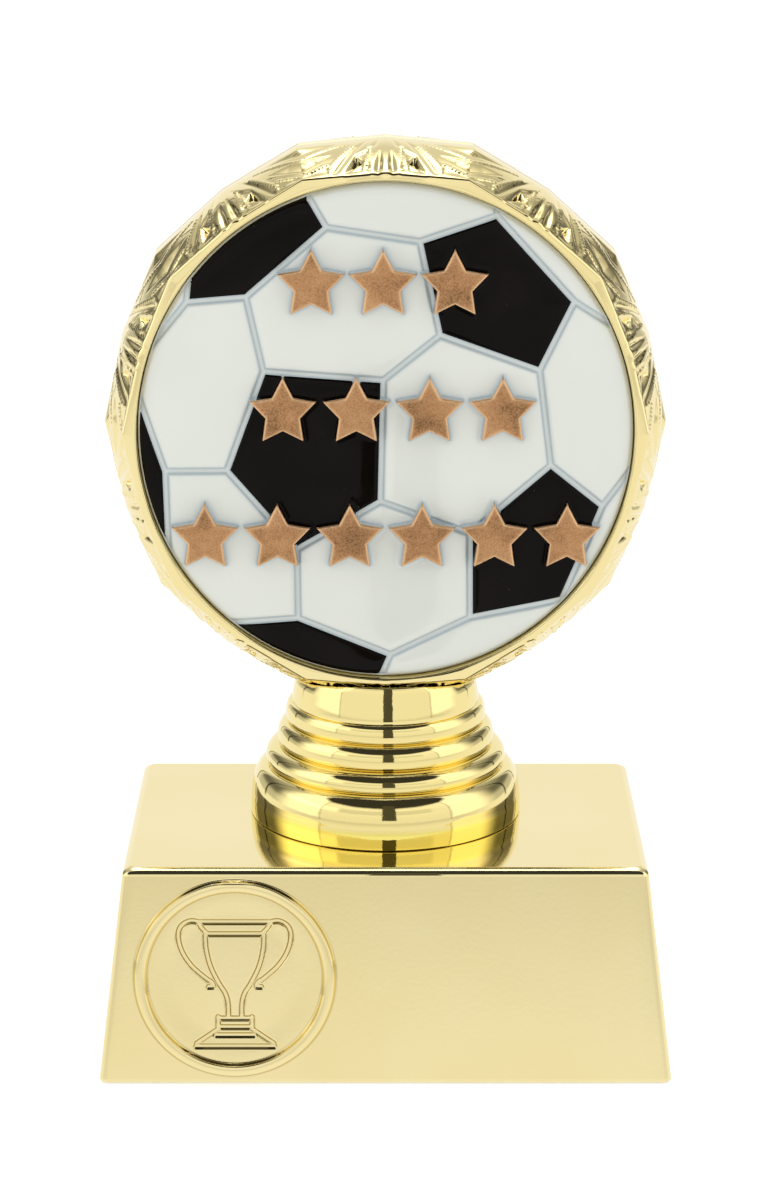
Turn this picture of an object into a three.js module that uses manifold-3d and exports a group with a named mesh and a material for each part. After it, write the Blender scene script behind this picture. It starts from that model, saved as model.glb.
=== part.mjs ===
// Figure trophy: a metallised plastic base, a stepped riser and a cut-glass style
// round holder that carries a resin football medallion, clamped by one threaded rod.
// Millimetres, +Z up, front towards -Y, origin at the centre of the base underside.
import * as THREE from 'three';
import { mergeVertices } from 'three/addons/utils/BufferGeometryUtils.js';
import Module from 'manifold-3d';

// ---- driving dimensions -----------------------------------------------------
const GAP = 0.3;                     // working gap between neighbouring pieces

const BASE_W = 79.6, BASE_D = 54.2;  // base footprint
const BASE_TOP_W = 72.4, BASE_TOP_D = 47.0;
const BASE_H = 30.2;
const BASE_WALL = 2.2;
const BASE_CORNER = 1.6;             // vertical corner radius
const BASE_EDGE = 1.1;               // top edge radius
const BOSS_R = 6.5, BOSS_DROP = 3.3;

const AXIS_Y = 3.0;                  // the rod stands behind the middle of the base
const ROD_R = 2.5;                   // M5
const HOLE_R = 2.8;
const ROD_Z0 = 12.5, ROD_Z1 = 66.5;

const RING_X = -20.84, RING_Z = 14.9, RING_R = 14.05, RING_WIDTH = 1.6, RING_RISE = 0.7;
const CUP_DEPTH = 0.35, CUP_LINE = 0.42; // depth and half-width of the cup's engraved lines

const NECK_TOP_Z = 51.4;
const RISER_WALL = 1.8;
const RISER_CEILING_Z = 46.2;

const BALL_Z = 88.1;                 // centre of the round holder
const HOLDER_R_CORNER = 39.7, HOLDER_R_MID = 38.95;   // ten corners at the equator
const LIP_R_CORNER = 36.5, LIP_R_MID = 35.6;
const HOLDER_HALF = 12.0;            // equator to lip plane
const RIM_BAND = 0.8;                // short straight band at the equator
const RECESS_R = 34.5;
const RECESS_FLOOR = 8.1;            // recess floor in front of the equator
const CAVITY_R = 35.2, CAVITY_DEPTH = 6.2;
const POST_RING = 24, POST_R = 3.2, PEG_R = 1.65, SOCKET_R = 2.0;

const PAD_R = 30, PAD_T = 0.8;
const DISC_R = 34.2;
const DISC_BACK = 9.5, DISC_FACE = 11.1;
const PANEL_TOP = 12.0, SEAM = 0.38;
const STAR_R = 4.75, STAR_INNER = 0.52, STAR_TOP = 13.6;
const FACE_SX = 0.988, FACE_SZ = 1.004;  // width and height trim of the face pattern

// ---- materials ---------------------------------------------------------------
const gold = new THREE.MeshStandardMaterial({ color: 0xe3cf86, metalness: 1.0, roughness: 0.12 });
const goldDeep = new THREE.MeshStandardMaterial({ color: 0xdcc274, metalness: 1.0, roughness: 0.1 });
const steel = new THREE.MeshStandardMaterial({ color: 0xb4b6b8, metalness: 1.0, roughness: 0.4 });
const zinc = new THREE.MeshStandardMaterial({ color: 0xc8cacb, metalness: 1.0, roughness: 0.3 });
const enamel = new THREE.MeshStandardMaterial({ color: 0xe4e6dc, metalness: 0.0, roughness: 0.15 });
const foam = new THREE.MeshStandardMaterial({ color: 0xf0efe8, metalness: 0.0, roughness: 0.9 });

// ---- solid helpers -------------------------------------------------------------
const wasm = await Module();
wasm.setup();

function solid(geometry) {
  const g = geometry.clone();
  g.deleteAttribute('normal');
  if (g.getAttribute('uv')) g.deleteAttribute('uv');
  const m = mergeVertices(g, 1e-4);
  const p = m.getAttribute('position').array;
  const tri = [];
  const src = m.index.array;
  let vol = 0;
  for (let i = 0; i < src.length; i += 3) {
    const [a, b, c] = [src[i], src[i + 1], src[i + 2]];
    if (a === b || b === c || a === c) continue;
    tri.push(a, b, c);
    const A = [p[3 * a], p[3 * a + 1], p[3 * a + 2]];
    const B = [p[3 * b], p[3 * b + 1], p[3 * b + 2]];
    const C = [p[3 * c], p[3 * c + 1], p[3 * c + 2]];
    vol += A[0] * (B[1] * C[2] - B[2] * C[1]) - A[1] * (B[0] * C[2] - B[2] * C[0]) + A[2] * (B[0] * C[1] - B[1] * C[0]);
  }
  if (vol < 0) for (let i = 0; i < tri.length; i += 3) [tri[i + 1], tri[i + 2]] = [tri[i + 2], tri[i + 1]];
  return new wasm.Manifold(new wasm.Mesh({
    numProp: 3, vertProperties: new Float32Array(p), triVerts: new Uint32Array(tri),
  }));
}

function toMesh(name, manifold, material) {
  const out = manifold.getMesh();
  const g = new THREE.BufferGeometry();
  g.setAttribute('position', new THREE.BufferAttribute(new Float32Array(out.vertProperties), 3));
  g.setIndex(new THREE.BufferAttribute(new Uint32Array(out.triVerts), 1));
  g.computeVertexNormals();
  const mesh = new THREE.Mesh(g, material);
  mesh.name = name;
  return mesh;
}

const V2 = (x, y) => new THREE.Vector2(x, y);

// A turned solid about +Z from an [r, z] profile that starts and ends on the axis.
function turned(profile, segments) {
  return new THREE.LatheGeometry(profile.map(([r, z]) => V2(r, z)), segments).rotateX(Math.PI / 2);
}
function bar(r, z0, z1, segments, x = 0, y = AXIS_Y) {
  return turned([[0, z0], [r, z0], [r, z1], [0, z1]], segments).translate(x, y, 0);
}

// A turned solid about the holder's own axis: t is the distance in front of the equator.
const FRONT = 1, REAR = -1;
function facing(profile, segments, side, phase = 0) {
  const g = new THREE.LatheGeometry(profile.map(([r, t]) => V2(r, t)), segments, phase);
  if (side === FRONT) g.rotateX(Math.PI);
  return g.translate(0, AXIS_Y, BALL_Z);
}

// Ten-cornered version: every other one of twenty stations is pulled in a little.
function tenCornered(profile, side) {
  const g = new THREE.LatheGeometry(profile.map(([rc, , t]) => V2(rc, t)), 20, Math.PI / 10);
  const pos = g.getAttribute('position');
  const rings = profile.length;
  for (let i = 0; i < pos.count; i++) {
    const station = Math.floor(i / rings), [rc, rm] = profile[i % rings];
    if (rc === 0) continue;
    const k = station % 2 === 1 ? rm / rc : 1;
    pos.setXYZ(i, pos.getX(i) * k, pos.getY(i), pos.getZ(i) * k);
  }
  if (side === FRONT) g.rotateX(Math.PI);
  return g.translate(0, AXIS_Y, BALL_Z);
}

// A tapered block with rounded corners: levels are [z, width, depth].
function roundedRect(w, d, r) {
  const s = new THREE.Shape();
  const x = w / 2, y = d / 2;
  s.moveTo(-x + r, -y);
  s.lineTo(x - r, -y); s.absarc(x - r, -y + r, r, -Math.PI / 2, 0);
  s.lineTo(x, y - r); s.absarc(x - r, y - r, r, 0, Math.PI / 2);
  s.lineTo(-x + r, y); s.absarc(-x + r, y - r, r, Math.PI / 2, Math.PI);
  s.lineTo(-x, -y + r); s.absarc(-x + r, -y + r, r, Math.PI, 1.5 * Math.PI);
  return s;
}
function taperedBlock(levels, r, curveSegments = 4) {
  const steps = levels.length - 1;
  const [, w0, d0] = levels[0];
  const g = new THREE.ExtrudeGeometry(roundedRect(w0, d0, r), { depth: steps, steps, bevelEnabled: false, curveSegments });
  const pos = g.getAttribute('position');
  for (let i = 0; i < pos.count; i++) {
    const [z, w, d] = levels[Math.round(pos.getZ(i))];
    const x = pos.getX(i), y = pos.getY(i);
    pos.setXYZ(i, x - Math.sign(x) * (w0 - w) / 2, y - Math.sign(y) * (d0 - d) / 2, z);
  }
  return g;
}
const baseW = (z) => BASE_W + (BASE_TOP_W - BASE_W) * z / BASE_H;
const baseD = (z) => BASE_D + (BASE_TOP_D - BASE_D) * z / BASE_H;

// ---- base shell ------------------------------------------------------------------
const edge = [];
for (let i = 0; i <= 3; i++) {
  const a = (i / 3) * Math.PI / 2;
  const z = BASE_H - BASE_EDGE + BASE_EDGE * Math.sin(a), inset = 2 * BASE_EDGE * (1 - Math.cos(a));
  edge.push([z, baseW(z) - inset, baseD(z) - inset]);
}
let base = solid(taperedBlock([[0, BASE_W, BASE_D], ...edge], BASE_CORNER));
const ceiling = BASE_H - 2.4;
base = base.subtract(solid(taperedBlock([
  [-1, baseW(-1) - 2 * BASE_WALL, baseD(-1) - 2 * BASE_WALL],
  [ceiling, baseW(ceiling) - 2 * BASE_WALL, baseD(ceiling) - 2 * BASE_WALL],
], 1.0, 2)));
base = base.add(solid(bar(BOSS_R, ceiling - BOSS_DROP, ceiling + 1, 24)));
base = base.subtract(solid(bar(HOLE_R, 10, BASE_H + 1, 24)));

// Emblem on the sloping front face, drawn in face coordinates (u right, v up, w out).
const SLOPE = Math.atan2((BASE_D - BASE_TOP_D) / 2, BASE_H);
const onFace = (g) => g
  .rotateX(Math.PI / 2 - SLOPE)
  .translate(RING_X, -baseD(RING_Z) / 2, RING_Z);
const ringGeo = new THREE.LatheGeometry([
  V2(RING_R - RING_WIDTH, -0.6), V2(RING_R, -0.6), V2(RING_R, RING_RISE * 0.45),
  V2(RING_R - RING_WIDTH * 0.3, RING_RISE), V2(RING_R - RING_WIDTH * 0.7, RING_RISE),
  V2(RING_R - RING_WIDTH, RING_RISE * 0.45), V2(RING_R - RING_WIDTH, -0.6),
], 48).rotateX(Math.PI / 2);
base = base.add(solid(onFace(ringGeo)));

function line(points, half = CUP_LINE) {
  // the cutter for one engraved line of constant width along a polyline, ends squared
  const left = [], right = [];
  points.forEach(([x, y], i) => {
    const [px, py] = points[Math.max(0, i - 1)], [nx, ny] = points[Math.min(points.length - 1, i + 1)];
    const l = Math.hypot(nx - px, ny - py);
    const ox = -(ny - py) / l * half, oy = (nx - px) / l * half;
    left.push([x + ox, y + oy]); right.push([x - ox, y - oy]);
  });
  const s = new THREE.Shape([...left, ...right.reverse()].map(([x, y]) => V2(x, y)));
  return solid(onFace(new THREE.ExtrudeGeometry(s, { depth: 1 + CUP_DEPTH, bevelEnabled: false }).translate(0, 0, -CUP_DEPTH)));
}
function curve(points, n) {
  return new THREE.CatmullRomCurve3(points.map(([x, y]) => new THREE.Vector3(x, y, 0))).getPoints(n).map((p) => [p.x, p.y]);
}
for (const m of [-1, 1]) {
  base = base.subtract(line(curve([[m * 3.75, 5.6], [m * 3.6, 3.4], [m * 2.5, -0.2], [m * 1.2, -2.6], [m * 0.75, -5.4]], 8)));
  base = base.subtract(line(curve([[m * 5.2, 8.0], [m * 7.1, 7.3], [m * 7.75, 5.4], [m * 6.6, 2.3], [m * 4.4, 0.0], [m * 3.4, -1.3]], 10)));
}
base = base.subtract(line([[-5.3, 8.0], [5.3, 8.0]]));
base = base.subtract(line([[-4.6, 6.0], [4.6, 6.0]]));
base = base.subtract(line([[-2.3, -6.1], [2.3, -6.1]], 0.35));
base = base.subtract(line([[-2.3, -7.3], [2.3, -7.3]], 0.35));
base = base.subtract(line([[-3.9, -8.5], [3.9, -8.5]], 0.3));
base = base.subtract(line([[-5.4, -9.9], [5.4, -9.9]], 0.4));

// ---- inside the base: weight plate, washer, nut ------------------------------------
const bossEnd = ceiling - BOSS_DROP;
const plateTop = bossEnd - GAP, plateThick = 3.0;
let plate = solid(taperedBlock([[plateTop - plateThick, 62, 36], [plateTop, 62, 36]], 2, 3));
plate = plate.subtract(solid(bar(3.1, plateTop - 10, plateTop + 1, 20)));
const washerTop = plateTop - plateThick - GAP;
const washer = solid(bar(8.0, washerTop - 1.2, washerTop, 32)).subtract(solid(bar(HOLE_R, washerTop - 3, washerTop + 2, 24)));
const nutTop = washerTop - 1.2 - GAP;
function hexNut(z0, z1) {
  const r = 4.0 / Math.cos(Math.PI / 6);
  const hex = new THREE.LatheGeometry([V2(0, z0), V2(r, z0), V2(r, z1), V2(0, z1)], 6, Math.PI / 6)
    .rotateX(Math.PI / 2).translate(0, AXIS_Y, 0);
  const cone = turned([[0, z0], [4.15, z0], [4.75, z0 + 0.5], [4.75, z1 - 0.5], [4.15, z1], [0, z1]], 24).translate(0, AXIS_Y, 0);
  return solid(hex).intersect(solid(cone)).subtract(solid(bar(HOLE_R, z0 - 1, z1 + 1, 24)));
}
const clampNut = hexNut(nutTop - 4, nutTop);

// ---- threaded rod --------------------------------------------------------------------
const rod = solid(turned([
  [0, ROD_Z0], [ROD_R - 0.5, ROD_Z0], [ROD_R, ROD_Z0 + 0.5], [ROD_R, ROD_Z1 - 0.5], [ROD_R - 0.5, ROD_Z1], [0, ROD_Z1],
], 24).translate(0, AXIS_Y, 0));

// ---- stepped riser ---------------------------------------------------------------------
const riserZ0 = BASE_H + GAP;
// tiers: [outer radius, z of the lower lip], from the neck down
const TIERS = [[14.34, 43.9], [15.5, 40.5], [17.2, 37.6], [19.35, 32.4]];
const outer = [[0, NECK_TOP_Z], [12.8, NECK_TOP_Z], [13.05, NECK_TOP_Z - 0.3], [13.4, 46.8]];
{
  let r0 = 13.4, z0 = 46.8;
  for (const [r, z] of TIERS) {
    const h = z0 - z, drop = r === 19.35 ? h : h * 0.6;
    for (let i = 1; i <= 4; i++) {
      const a = (i / 4) * Math.PI / 2;
      outer.push([r0 + (r - r0) * Math.sin(a), z0 - drop * (1 - Math.cos(a))]);
    }
    if (drop < h) outer.push([r - 0.05, z]);
    r0 = r - 0.05; z0 = z;
  }
}
outer.push([19.45, riserZ0 + 0.3], [19.35, riserZ0], [0, riserZ0]);
let riser = solid(turned(outer, 48).translate(0, AXIS_Y, 0));
const inner = [
  [0, riserZ0 - 1], [19.5 - RISER_WALL, riserZ0 - 1], [19.5 - RISER_WALL, 33.2], [15.6, 36.2], [13.8, 39.2],
  [12.6, 42.6], [11.6, RISER_CEILING_Z], [0, RISER_CEILING_Z],
];
riser = riser.subtract(solid(turned(inner, 32).translate(0, AXIS_Y, 0)));
riser = riser.subtract(solid(bar(HOLE_R, 40, 60, 24)));
// seat for the holder: its own outline grown by the gap
const seat = [
  [0, 0, -HOLDER_HALF - GAP], [LIP_R_CORNER + GAP, LIP_R_MID + GAP, -HOLDER_HALF - GAP],
  [HOLDER_R_CORNER + GAP, HOLDER_R_MID + GAP, -RIM_BAND], [HOLDER_R_CORNER + GAP, HOLDER_R_MID + GAP, RIM_BAND],
  [LIP_R_CORNER + GAP, LIP_R_MID + GAP, HOLDER_HALF + GAP], [0, 0, HOLDER_HALF + GAP],
];
riser = riser.subtract(solid(tenCornered(seat, FRONT)));

// ---- round holder, two halves ------------------------------------------------------------
const HALF_GAP = GAP / 2;
const NUT_Z = 60;
function halfOutline(side) {
  return solid(tenCornered([
    [0, 0, HALF_GAP], [HOLDER_R_CORNER, HOLDER_R_MID, HALF_GAP], [HOLDER_R_CORNER, HOLDER_R_MID, RIM_BAND],
    [LIP_R_CORNER, LIP_R_MID, HOLDER_HALF], [0, 0, HOLDER_HALF],
  ], side));
}
function cutBox(w, d, h, x, y, z) {
  return solid(new THREE.BoxGeometry(w, d, h).translate(x, y, z));
}
const post = (r, t0, t1, side, angle, segments = 20) => solid(
  facing([[0, t0], [r, t0], [r, t1], [0, t1]], segments, side)
    .translate(POST_RING * Math.cos(angle), 0, POST_RING * Math.sin(angle)));
const POSTS = [90, 210, 330].map((d) => d * Math.PI / 180);

function holderHalf(side) {
  let s = halfOutline(side);
  const dir = -side;                            // world y direction of this half
  s = s.subtract(solid(facing([[0, -1], [CAVITY_R, -1], [CAVITY_R, CAVITY_DEPTH], [0, CAVITY_DEPTH]], 60, side)));
  s = s.subtract(solid(facing([[0, RECESS_FLOOR], [RECESS_R, RECESS_FLOOR], [RECESS_R, HOLDER_HALF + 2], [0, HOLDER_HALF + 2]], 72, side)));
  // half boss around the rod
  const bossT = CAVITY_DEPTH + 0.4 - HALF_GAP;
  s = s.add(cutBox(13, bossT, 15, 0, AXIS_Y + dir * (HALF_GAP + bossT / 2), 52 + 7.5));
  for (const a of POSTS) s = s.add(post(POST_R, HALF_GAP, CAVITY_DEPTH + 0.4, side, a));
  if (side === FRONT) {
    for (const a of POSTS) s = s.subtract(post(SOCKET_R, -1, CAVITY_DEPTH - 0.4, side, a, 16));
    // tongue that locates the two halves
    s = s.add(solid(facing([
      [33.9, -1.4], [34.8, -1.4], [34.8, 0.5], [35.5, 0.5], [35.5, 1.4], [33.9, 1.4], [33.9, -1.4],
    ], 60, side)));
    s = s.subtract(cutBox(13.8, 3, 8, 0, AXIS_Y + 1.5, 53.5));   // the tongue stops at the rear boss
  } else {
    for (const a of POSTS) s = s.add(post(PEG_R, -3.0, CAVITY_DEPTH, side, a, 16));
  }
  s = s.subtract(solid(bar(HOLE_R, 40, 70, 24)));
  s = s.subtract(cutBox(10.2, 8.6, 4.6, 0, AXIS_Y, NUT_Z + 2));
  return s;
}
const holderFront = holderHalf(FRONT);
// the rear recess is shallow: its floor is filled up to a plain sunk field
const holderRear = holderHalf(REAR).add(solid(facing([
  [0, RECESS_FLOOR - 0.5], [RECESS_R + 0.4, RECESS_FLOOR - 0.5], [RECESS_R + 0.4, HOLDER_HALF - 2.2], [0, HOLDER_HALF - 2.2],
], 60, REAR)));
const captiveNut = hexNut(NUT_Z, NUT_Z + 4);

// ---- football medallion --------------------------------------------------------------------
// Panel corners in medallion coordinates, as [x, z] from its centre; the outer ones
// lie past the rim, which trims the panels to the circle.
const P = {
  a: [-12.4, 35.8], b: [-8.1, 28.5], c: [-19.2, 19.0], d: [-27.4, 18.3], e: [-26.6, 26.0],
  f: [4.7, 26.6], g: [15.2, 30.1], g2: [15.4, 36.0], h: [26.0, 18.4], h2: [35.2, 12.6], i: [21.3, 8.9], j: [7.5, 13.8],
  k: [-0.3, 7.6], l: [-16.9, 8.8], m: [-22.1, -5.1], n: [-12.4, -16.2], o: [-0.7, -9.4],
  p: [11.8, -13.9], q: [23.0, -4.3], r: [30.3, -10.1], r2: [37.3, -1.0], s: [24.8, -23.5], s2: [26.0, -29.0],
  t: [11.9, -26.0], u: [0.7, -31.4], u2: [-1.9, -37.7], v: [-12.3, -26.1], w: [-21.3, -26.8], w2: [-27.0, -27.6],
  x: [-30.7, -5.2], x3: [-30.3, -22.0], y: [-35.4, 8.6], d3: [-28.2, 30.0],
};
const FAR = { tl: [-40, 40], l: [-44, 8], ll: [-44, -12], bl: [-40, -40], b: [-14, -44], br: [34, -44], r: [44, -10], rr: [44, 4], tr: [40, 40], t: [2, 44] };
const PANELS = [
  ['black', 'a', 'b', 'c', 'd', 'e'],
  ['white', 'a', FAR.t, 'g2', 'g', 'f', 'b'],
  ['black', 'g', 'h', 'i', 'j', 'f'],
  ['white', 'b', 'f', 'j', 'k', 'l', 'c'],
  ['white', 'g', 'g2', FAR.tr, 'h2', 'h'],
  ['white', 'h', 'h2', FAR.rr, 'r2', 'r', 'q', 'i'],
  ['white', 'j', 'i', 'q', 'p', 'o', 'k'],
  ['black', 'l', 'k', 'o', 'n', 'm'],
  ['black', 'q', 'r', 's', 't', 'p'],
  ['white', 'r', 'r2', FAR.r, 's2', 's'],
  ['white', 'o', 'p', 't', 'u', 'v', 'n'],
  ['white', 't', 's', 's2', FAR.br, 'u2', 'u'],
  ['black', 'v', 'u', 'u2', FAR.b, 'w2', 'w'],
  ['white', 'm', 'n', 'v', 'w', 'w2', FAR.bl, 'x3', 'x'],
  ['white', 'c', 'l', 'm', 'x', 'y', 'd'],
  ['black', 'x', 'x3', FAR.ll, 'y'],
  ['white', 'd', 'y', FAR.l, 'd3', 'e'],
];
function inset(points, by) {
  const n = points.length;
  let area = 0;
  points.forEach(([x, y], i) => { const [u, v] = points[(i + 1) % n]; area += x * v - u * y; });
  const sgn = Math.sign(area);
  return points.map(([x, y], i) => {
    const [px, py] = points[(i + n - 1) % n], [nx, ny] = points[(i + 1) % n];
    const l1 = Math.hypot(x - px, y - py), l2 = Math.hypot(nx - x, ny - y);
    const n1 = [-(y - py) / l1 * sgn, (x - px) / l1 * sgn], n2 = [-(ny - y) / l2 * sgn, (nx - x) / l2 * sgn];
    const k = by / Math.max(0.25, 1 + n1[0] * n2[0] + n1[1] * n2[1]);
    return [x + (n1[0] + n2[0]) * k, y + (n1[1] + n2[1]) * k];
  });
}
// Face drawings are extruded along +Z, then turned to look out of the front.
const onDisc = (g) => g.rotateX(Math.PI / 2).translate(0, AXIS_Y, BALL_Z);
function panel(points) {
  const bevel = 0.3;
  const s = new THREE.Shape(inset(points, SEAM + bevel).map(([x, y]) => V2(x, y)));
  const g = new THREE.ExtrudeGeometry(s, {
    depth: PANEL_TOP - DISC_FACE + 0.3 - bevel, bevelEnabled: true, bevelSegments: 1, bevelSize: bevel, bevelThickness: bevel,
  });
  return solid(onDisc(g.translate(0, 0, DISC_FACE - 0.3)));
}
let medallion = solid(facing([[0, DISC_BACK], [DISC_R, DISC_BACK], [DISC_R, DISC_FACE - 0.1], [DISC_R - 0.1, DISC_FACE], [0, DISC_FACE]], 72, FRONT));
let relief = null;
for (const [, ...corners] of PANELS) {
  const pts = corners.map((c) => (typeof c === 'string' ? P[c] : c)).map(([x, z]) => [x * FACE_SX, z * FACE_SZ]);
  relief = relief ? relief.add(panel(pts)) : panel(pts);
}
const trim = solid(facing([[0, DISC_BACK + 0.2], [DISC_R - 0.35, DISC_BACK + 0.2], [DISC_R - 0.35, PANEL_TOP - 0.3], [DISC_R - 0.65, PANEL_TOP], [0, PANEL_TOP + 0.01]], 72, FRONT));
medallion = medallion.add(relief.intersect(trim));

// raised five-pointed stars in three rows: [height of row, centres along the row]
const STAR_ROWS = [
  [20.9, [-10.2, -0.35, 9.5]],
  [3.4, [-14.2, -4.05, 6.1, 16.2]],
  [-14.3, [-25.2, -15.1, -5.0, 5.1, 15.2, 25.3]],
];
function star(cx, cz) {
  const s = new THREE.Shape();
  for (let i = 0; i < 10; i++) {
    const a = Math.PI / 2 + i * Math.PI / 5, r = (i % 2 ? STAR_INNER : 1) * (STAR_R - 0.25);
    if (i) s.lineTo(cx + r * Math.cos(a), cz + r * Math.sin(a)); else s.moveTo(cx + r * Math.cos(a), cz + r * Math.sin(a));
  }
  s.closePath();
  const g = new THREE.ExtrudeGeometry(s, {
    depth: STAR_TOP - DISC_FACE - 0.25 + 0.2, bevelEnabled: true, bevelSegments: 1, bevelSize: 0.25, bevelThickness: 0.25,
  });
  return solid(onDisc(g.translate(0, 0, DISC_FACE - 0.2)));
}
for (const [cz, xs] of STAR_ROWS) for (const cx of xs) medallion = medallion.add(star(cx * FACE_SX, cz * FACE_SZ));

const pad = solid(facing([
  [0, RECESS_FLOOR + GAP], [PAD_R, RECESS_FLOOR + GAP], [PAD_R, RECESS_FLOOR + GAP + PAD_T], [0, RECESS_FLOOR + GAP + PAD_T],
], 48, FRONT));

// ---- assembly -----------------------------------------------------------------------------------
const trophy = new THREE.Group();
trophy.name = 'figure_trophy';
const lower = new THREE.Group();
lower.add(
  toMesh('base_shell', base, gold),
  toMesh('base_weight_plate', plate, steel),
  toMesh('clamp_washer', washer, zinc),
  toMesh('clamp_nut', clampNut, zinc),
  toMesh('threaded_rod', rod, zinc),
);
const head = new THREE.Group();
head.add(
  toMesh('riser_shell', riser, goldDeep),
  toMesh('holder_front_shell', holderFront, gold),
  toMesh('holder_rear_shell', holderRear, gold),
  toMesh('captive_nut', captiveNut, zinc),
  toMesh('adhesive_pad', pad, foam),
  toMesh('medallion_disc', medallion, enamel),
);
trophy.add(lower, head);
export default trophy;
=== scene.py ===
import math

import bpy
import numpy as np
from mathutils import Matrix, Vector
from mathutils.geometry import delaunay_2d_cdt


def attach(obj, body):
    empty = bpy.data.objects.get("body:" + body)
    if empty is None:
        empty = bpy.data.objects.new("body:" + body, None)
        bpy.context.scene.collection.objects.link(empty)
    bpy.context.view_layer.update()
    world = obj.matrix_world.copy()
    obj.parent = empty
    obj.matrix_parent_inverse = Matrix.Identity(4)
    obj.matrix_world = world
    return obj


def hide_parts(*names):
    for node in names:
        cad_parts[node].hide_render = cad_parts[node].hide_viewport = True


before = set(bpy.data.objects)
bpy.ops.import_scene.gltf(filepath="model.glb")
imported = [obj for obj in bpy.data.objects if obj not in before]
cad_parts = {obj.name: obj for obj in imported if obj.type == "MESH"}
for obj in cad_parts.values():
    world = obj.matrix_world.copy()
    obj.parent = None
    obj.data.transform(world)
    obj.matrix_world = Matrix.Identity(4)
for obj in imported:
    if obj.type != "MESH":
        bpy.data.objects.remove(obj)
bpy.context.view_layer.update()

# ---------------------------------------------------------------------------
# Sizes, in millimetres (the mesh builders work in mm and scale at the end)
# ---------------------------------------------------------------------------
AXIS_Y = 3.0
BASE_W, BASE_D, TOP_W, TOP_D, BASE_H = 79.6, 54.2, 72.4, 47.0, 30.2
RING_X, RING_Z = -20.84, 14.9
BALL_Z = 88.1
HALF_T = 12.0
R_CORNER, R_MID = 39.7, 38.95
LIP_CORNER, LIP_MID = 36.4, 35.55
DISC_R = 34.38
RECESS_R = 34.5
FACE_SX, FACE_SZ = 0.997, 0.992
HEAD_SX, HEAD_SZ = 0.991, 1.012   # the head is a touch taller than wide
SECTORS = 10


# ---------------------------------------------------------------------------
# Mesh helpers
# ---------------------------------------------------------------------------
def make_object(name, verts, faces, smooth=True, sharp=None):
    """verts in mm; faces: list of index sequences."""
    me = bpy.data.meshes.new(name)
    v = np.asarray(verts, float) * 0.001
    sizes = np.fromiter((len(f) for f in faces), int, len(faces))
    loops = np.concatenate([np.asarray(f, int) for f in faces]) if len(faces) else np.zeros(0, int)
    starts = np.concatenate([[0], np.cumsum(sizes)[:-1]])
    me.vertices.add(len(v))
    me.vertices.foreach_set("co", v.ravel())
    me.loops.add(len(loops))
    me.loops.foreach_set("vertex_index", loops.astype(np.int32))
    me.polygons.add(len(sizes))
    me.polygons.foreach_set("loop_start", starts.astype(np.int32))
    me.polygons.foreach_set("use_smooth", np.full(len(sizes), smooth))
    me.update(calc_edges=True)
    me.validate()
    if sharp is not None:
        me.set_sharp_from_angle(angle=math.radians(sharp))
    o = bpy.data.objects.new(name, me)
    bpy.context.scene.collection.objects.link(o)
    return o


def ring_faces(rows, cols, close_rows=True, flip=False):
    """Quads of a grid whose columns wrap around; rows wrap too if close_rows."""
    r = np.arange(rows if close_rows else rows - 1)
    c = np.arange(cols)
    rr, cc = np.meshgrid(r, c, indexing="ij")
    r2, c2 = (rr + 1) % rows, (cc + 1) % cols
    q = np.stack([rr * cols + cc, rr * cols + c2, r2 * cols + c2, r2 * cols + cc], -1).reshape(-1, 4)
    return q[:, ::-1] if flip else q


def outward(obj):
    """Turns every face outwards if the closed mesh is inside out."""
    me = obj.data
    me.calc_loop_triangles()
    co = np.zeros(len(me.vertices) * 3)
    me.vertices.foreach_get("co", co)
    co = co.reshape(-1, 3)
    t = np.zeros(len(me.loop_triangles) * 3, np.int32)
    me.loop_triangles.foreach_get("vertices", t)
    a, b, c = co[t[0::3]], co[t[1::3]], co[t[2::3]]
    if np.einsum("ij,ij->i", a, np.cross(b, c)).sum() < 0:
        me.flip_normals()
    return obj


def float_attribute(obj, name, values):
    a = obj.data.attributes.new(name, "FLOAT", "POINT")
    a.data.foreach_set("value", np.asarray(values, np.float32))


def smoothstep(a, b, x):
    t = np.clip((x - a) / (b - a), 0, 1)
    return t * t * (3 - 2 * t)


def seg_distance(px, py, ax, ay, bx, by):
    dx, dy = bx - ax, by - ay
    t = np.clip(((px - ax) * dx + (py - ay) * dy) / (dx * dx + dy * dy + 1e-12), 0, 1)
    return np.hypot(px - ax - t * dx, py - ay - t * dy)


def in_polygon(x, z, pts):
    inside = np.zeros(x.shape, bool)
    for i in range(len(pts)):
        (ax, ay), (bx, by) = pts[i - 1], pts[i]
        cond = (ay > z) != (by > z)
        with np.errstate(divide="ignore", invalid="ignore"):
            xi = ax + (z - ay) * (bx - ax) / (by - ay)
        inside ^= cond & (x < xi)
    return inside


def path_distance(px, py, pts):
    d = np.full(px.shape, 1e9)
    for (ax, ay), (bx, by) in zip(pts[:-1], pts[1:]):
        d = np.minimum(d, seg_distance(px, py, ax, ay, bx, by))
    return d


def spline(points, n):
    """Catmull-Rom through the points."""
    p = np.asarray(points, float)
    p = np.vstack([2 * p[0] - p[1], p, 2 * p[-1] - p[-2]])
    out = []
    for i in range(1, len(p) - 2):
        for t in np.linspace(0, 1, n, endpoint=False):
            out.append(0.5 * ((2 * p[i]) + (-p[i - 1] + p[i + 1]) * t
                              + (2 * p[i - 1] - 5 * p[i] + 4 * p[i + 1] - p[i + 2]) * t * t
                              + (-p[i - 1] + 3 * p[i] - 3 * p[i + 1] + p[i + 2]) * t ** 3))
    out.append(p[-2])
    return np.array(out)


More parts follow.
